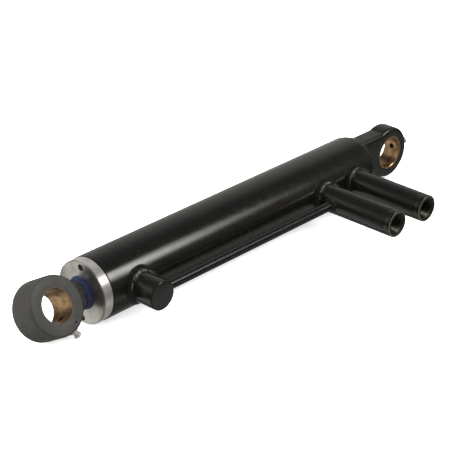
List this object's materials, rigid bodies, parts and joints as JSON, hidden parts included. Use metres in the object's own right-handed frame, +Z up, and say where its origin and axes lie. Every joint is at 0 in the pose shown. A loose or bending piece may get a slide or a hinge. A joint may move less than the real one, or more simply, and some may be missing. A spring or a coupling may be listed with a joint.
{
  "type": "hydraulic cylinder",
  "caption": "Welded double-acting hydraulic cylinder with bushed pin eyes, a screwed-in gland, side hose ports and a transfer tube to the rod end.",
  "frame": {"origin": "centre of the base eye's pin bore", "axes": "+X along the barrel from the base pin to the rod pin, +Y along the base pin bore and the way the two hose ports point, +Z up"},
  "size_m": [0.6505, 0.184, 0.0772],
  "materials": {
    "black_paint": "gloss black enamel",
    "eye_paint": "satin dark grey primer",
    "machined_steel": "turned bright steel",
    "port_steel": "bare machined end face, black outside",
    "chrome_rod": "ground and hard chrome plated",
    "bronze": "oiled bronze",
    "zinc_fitting": "zinc plated",
    "wiper_blue": "satin polyurethane",
    "seal_rubber": "matte black nitrile",
    "seal_plastic": "oiled nylon",
    "wear_ring_plastic": "phenolic"
  },
  "bodies": {
    "barrel": {"barrel_tube": "black_paint", "base_cap": "black_paint", "base_cap_weld": "black_paint", "base_eye": "black_paint", "base_eye_weld": "black_paint", "base_eye_bushing": "bronze", "base_grease_fitting": "zinc_fitting", "gland": "machined_steel", "gland_o_ring": "seal_rubber", "gland_backup_ring": "seal_plastic", "rod_wear_ring": "wear_ring_plastic", "rod_seal": "seal_rubber", "rod_wiper": "wiper_blue", "rear_port_pipe": "black_paint", "rear_port_boss": "port_steel", "rear_port_weld": "black_paint", "front_port_pipe": "black_paint", "front_port_boss": "port_steel", "front_port_weld": "black_paint", "rod_end_stub": "black_paint", "rod_end_stub_weld": "black_paint", "transfer_tube": "black_paint", "transfer_tube_port_weld": "black_paint", "transfer_tube_stub_weld": "black_paint"},
    "piston_rings": {"piston_seal": "seal_plastic", "piston_rear_wear_ring": "wear_ring_plastic", "piston_front_wear_ring": "wear_ring_plastic"},
    "rod": {"rod": "chrome_rod", "piston": "machined_steel", "piston_nut": "machined_steel", "piston_o_ring": "seal_rubber", "piston_seal_energizer": "seal_rubber", "stop_tube": "machined_steel", "rod_eye": "eye_paint", "rod_eye_weld": "eye_paint", "rod_eye_bushing": "bronze", "rod_grease_fitting": "zinc_fitting"}
  },
  "joints": [
    {"name": "rod_extend", "type": "slide", "parent": "barrel", "child": "piston_rings", "axis": [1, 0, 0], "range_m": [0, 0.3]},
    {"name": "rod_turn", "type": "hinge", "parent": "piston_rings", "child": "rod", "pos_m": [0, 0, 0], "axis": [1, 0, 0], "continuous": true}
  ]
}
